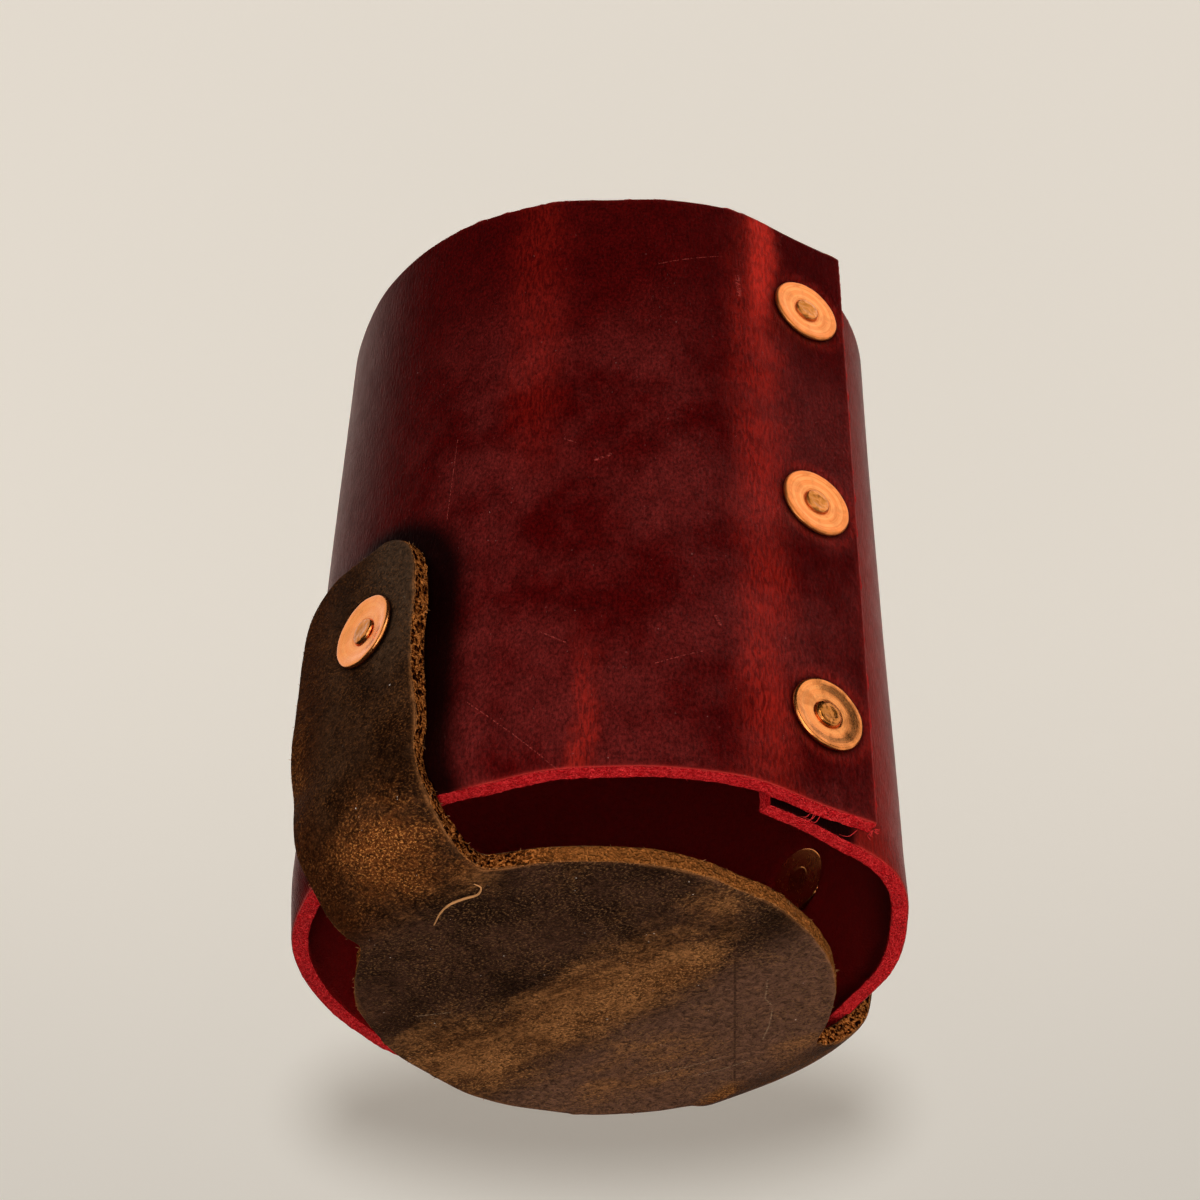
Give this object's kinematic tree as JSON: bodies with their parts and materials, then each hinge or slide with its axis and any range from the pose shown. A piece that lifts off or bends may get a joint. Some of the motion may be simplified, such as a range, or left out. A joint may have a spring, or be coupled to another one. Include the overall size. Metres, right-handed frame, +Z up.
{
  "type": "leather can cooler",
  "caption": "Open leather sleeve that grips and insulates a drink can, lapped and riveted up one side, with a base disc hung under it on riveted tabs.",
  "frame": {"origin": "middle of the base disc's underside, which is the face that the cooler stands on", "axes": "+Z up along the sleeve's axis towards its open top; the base's two tabs rise at -X and +X, and the lapped seam faces -Y"},
  "size_m": [0.0804, 0.0763, 0.0986],
  "materials": {
    "sleeve_leather": "oxblood oiled pull-up leather, satin, with raw red cut edges",
    "strap_leather": "distressed brown leather with a short nap and rubbed tan patches, nearly matt",
    "copper": "plain copper, worn bright on the rims"
  },
  "bodies": {
    "root": {"sleeve": "sleeve_leather", "base_strap": "strap_leather", "seam_bottom_rivet": "copper", "seam_bottom_burr": "copper", "seam_middle_rivet": "copper", "seam_middle_burr": "copper", "seam_top_rivet": "copper", "seam_top_burr": "copper", "tab_left_rivet": "copper", "tab_left_burr": "copper", "tab_right_rivet": "copper", "tab_right_burr": "copper"}
  },
  "joints": []
}
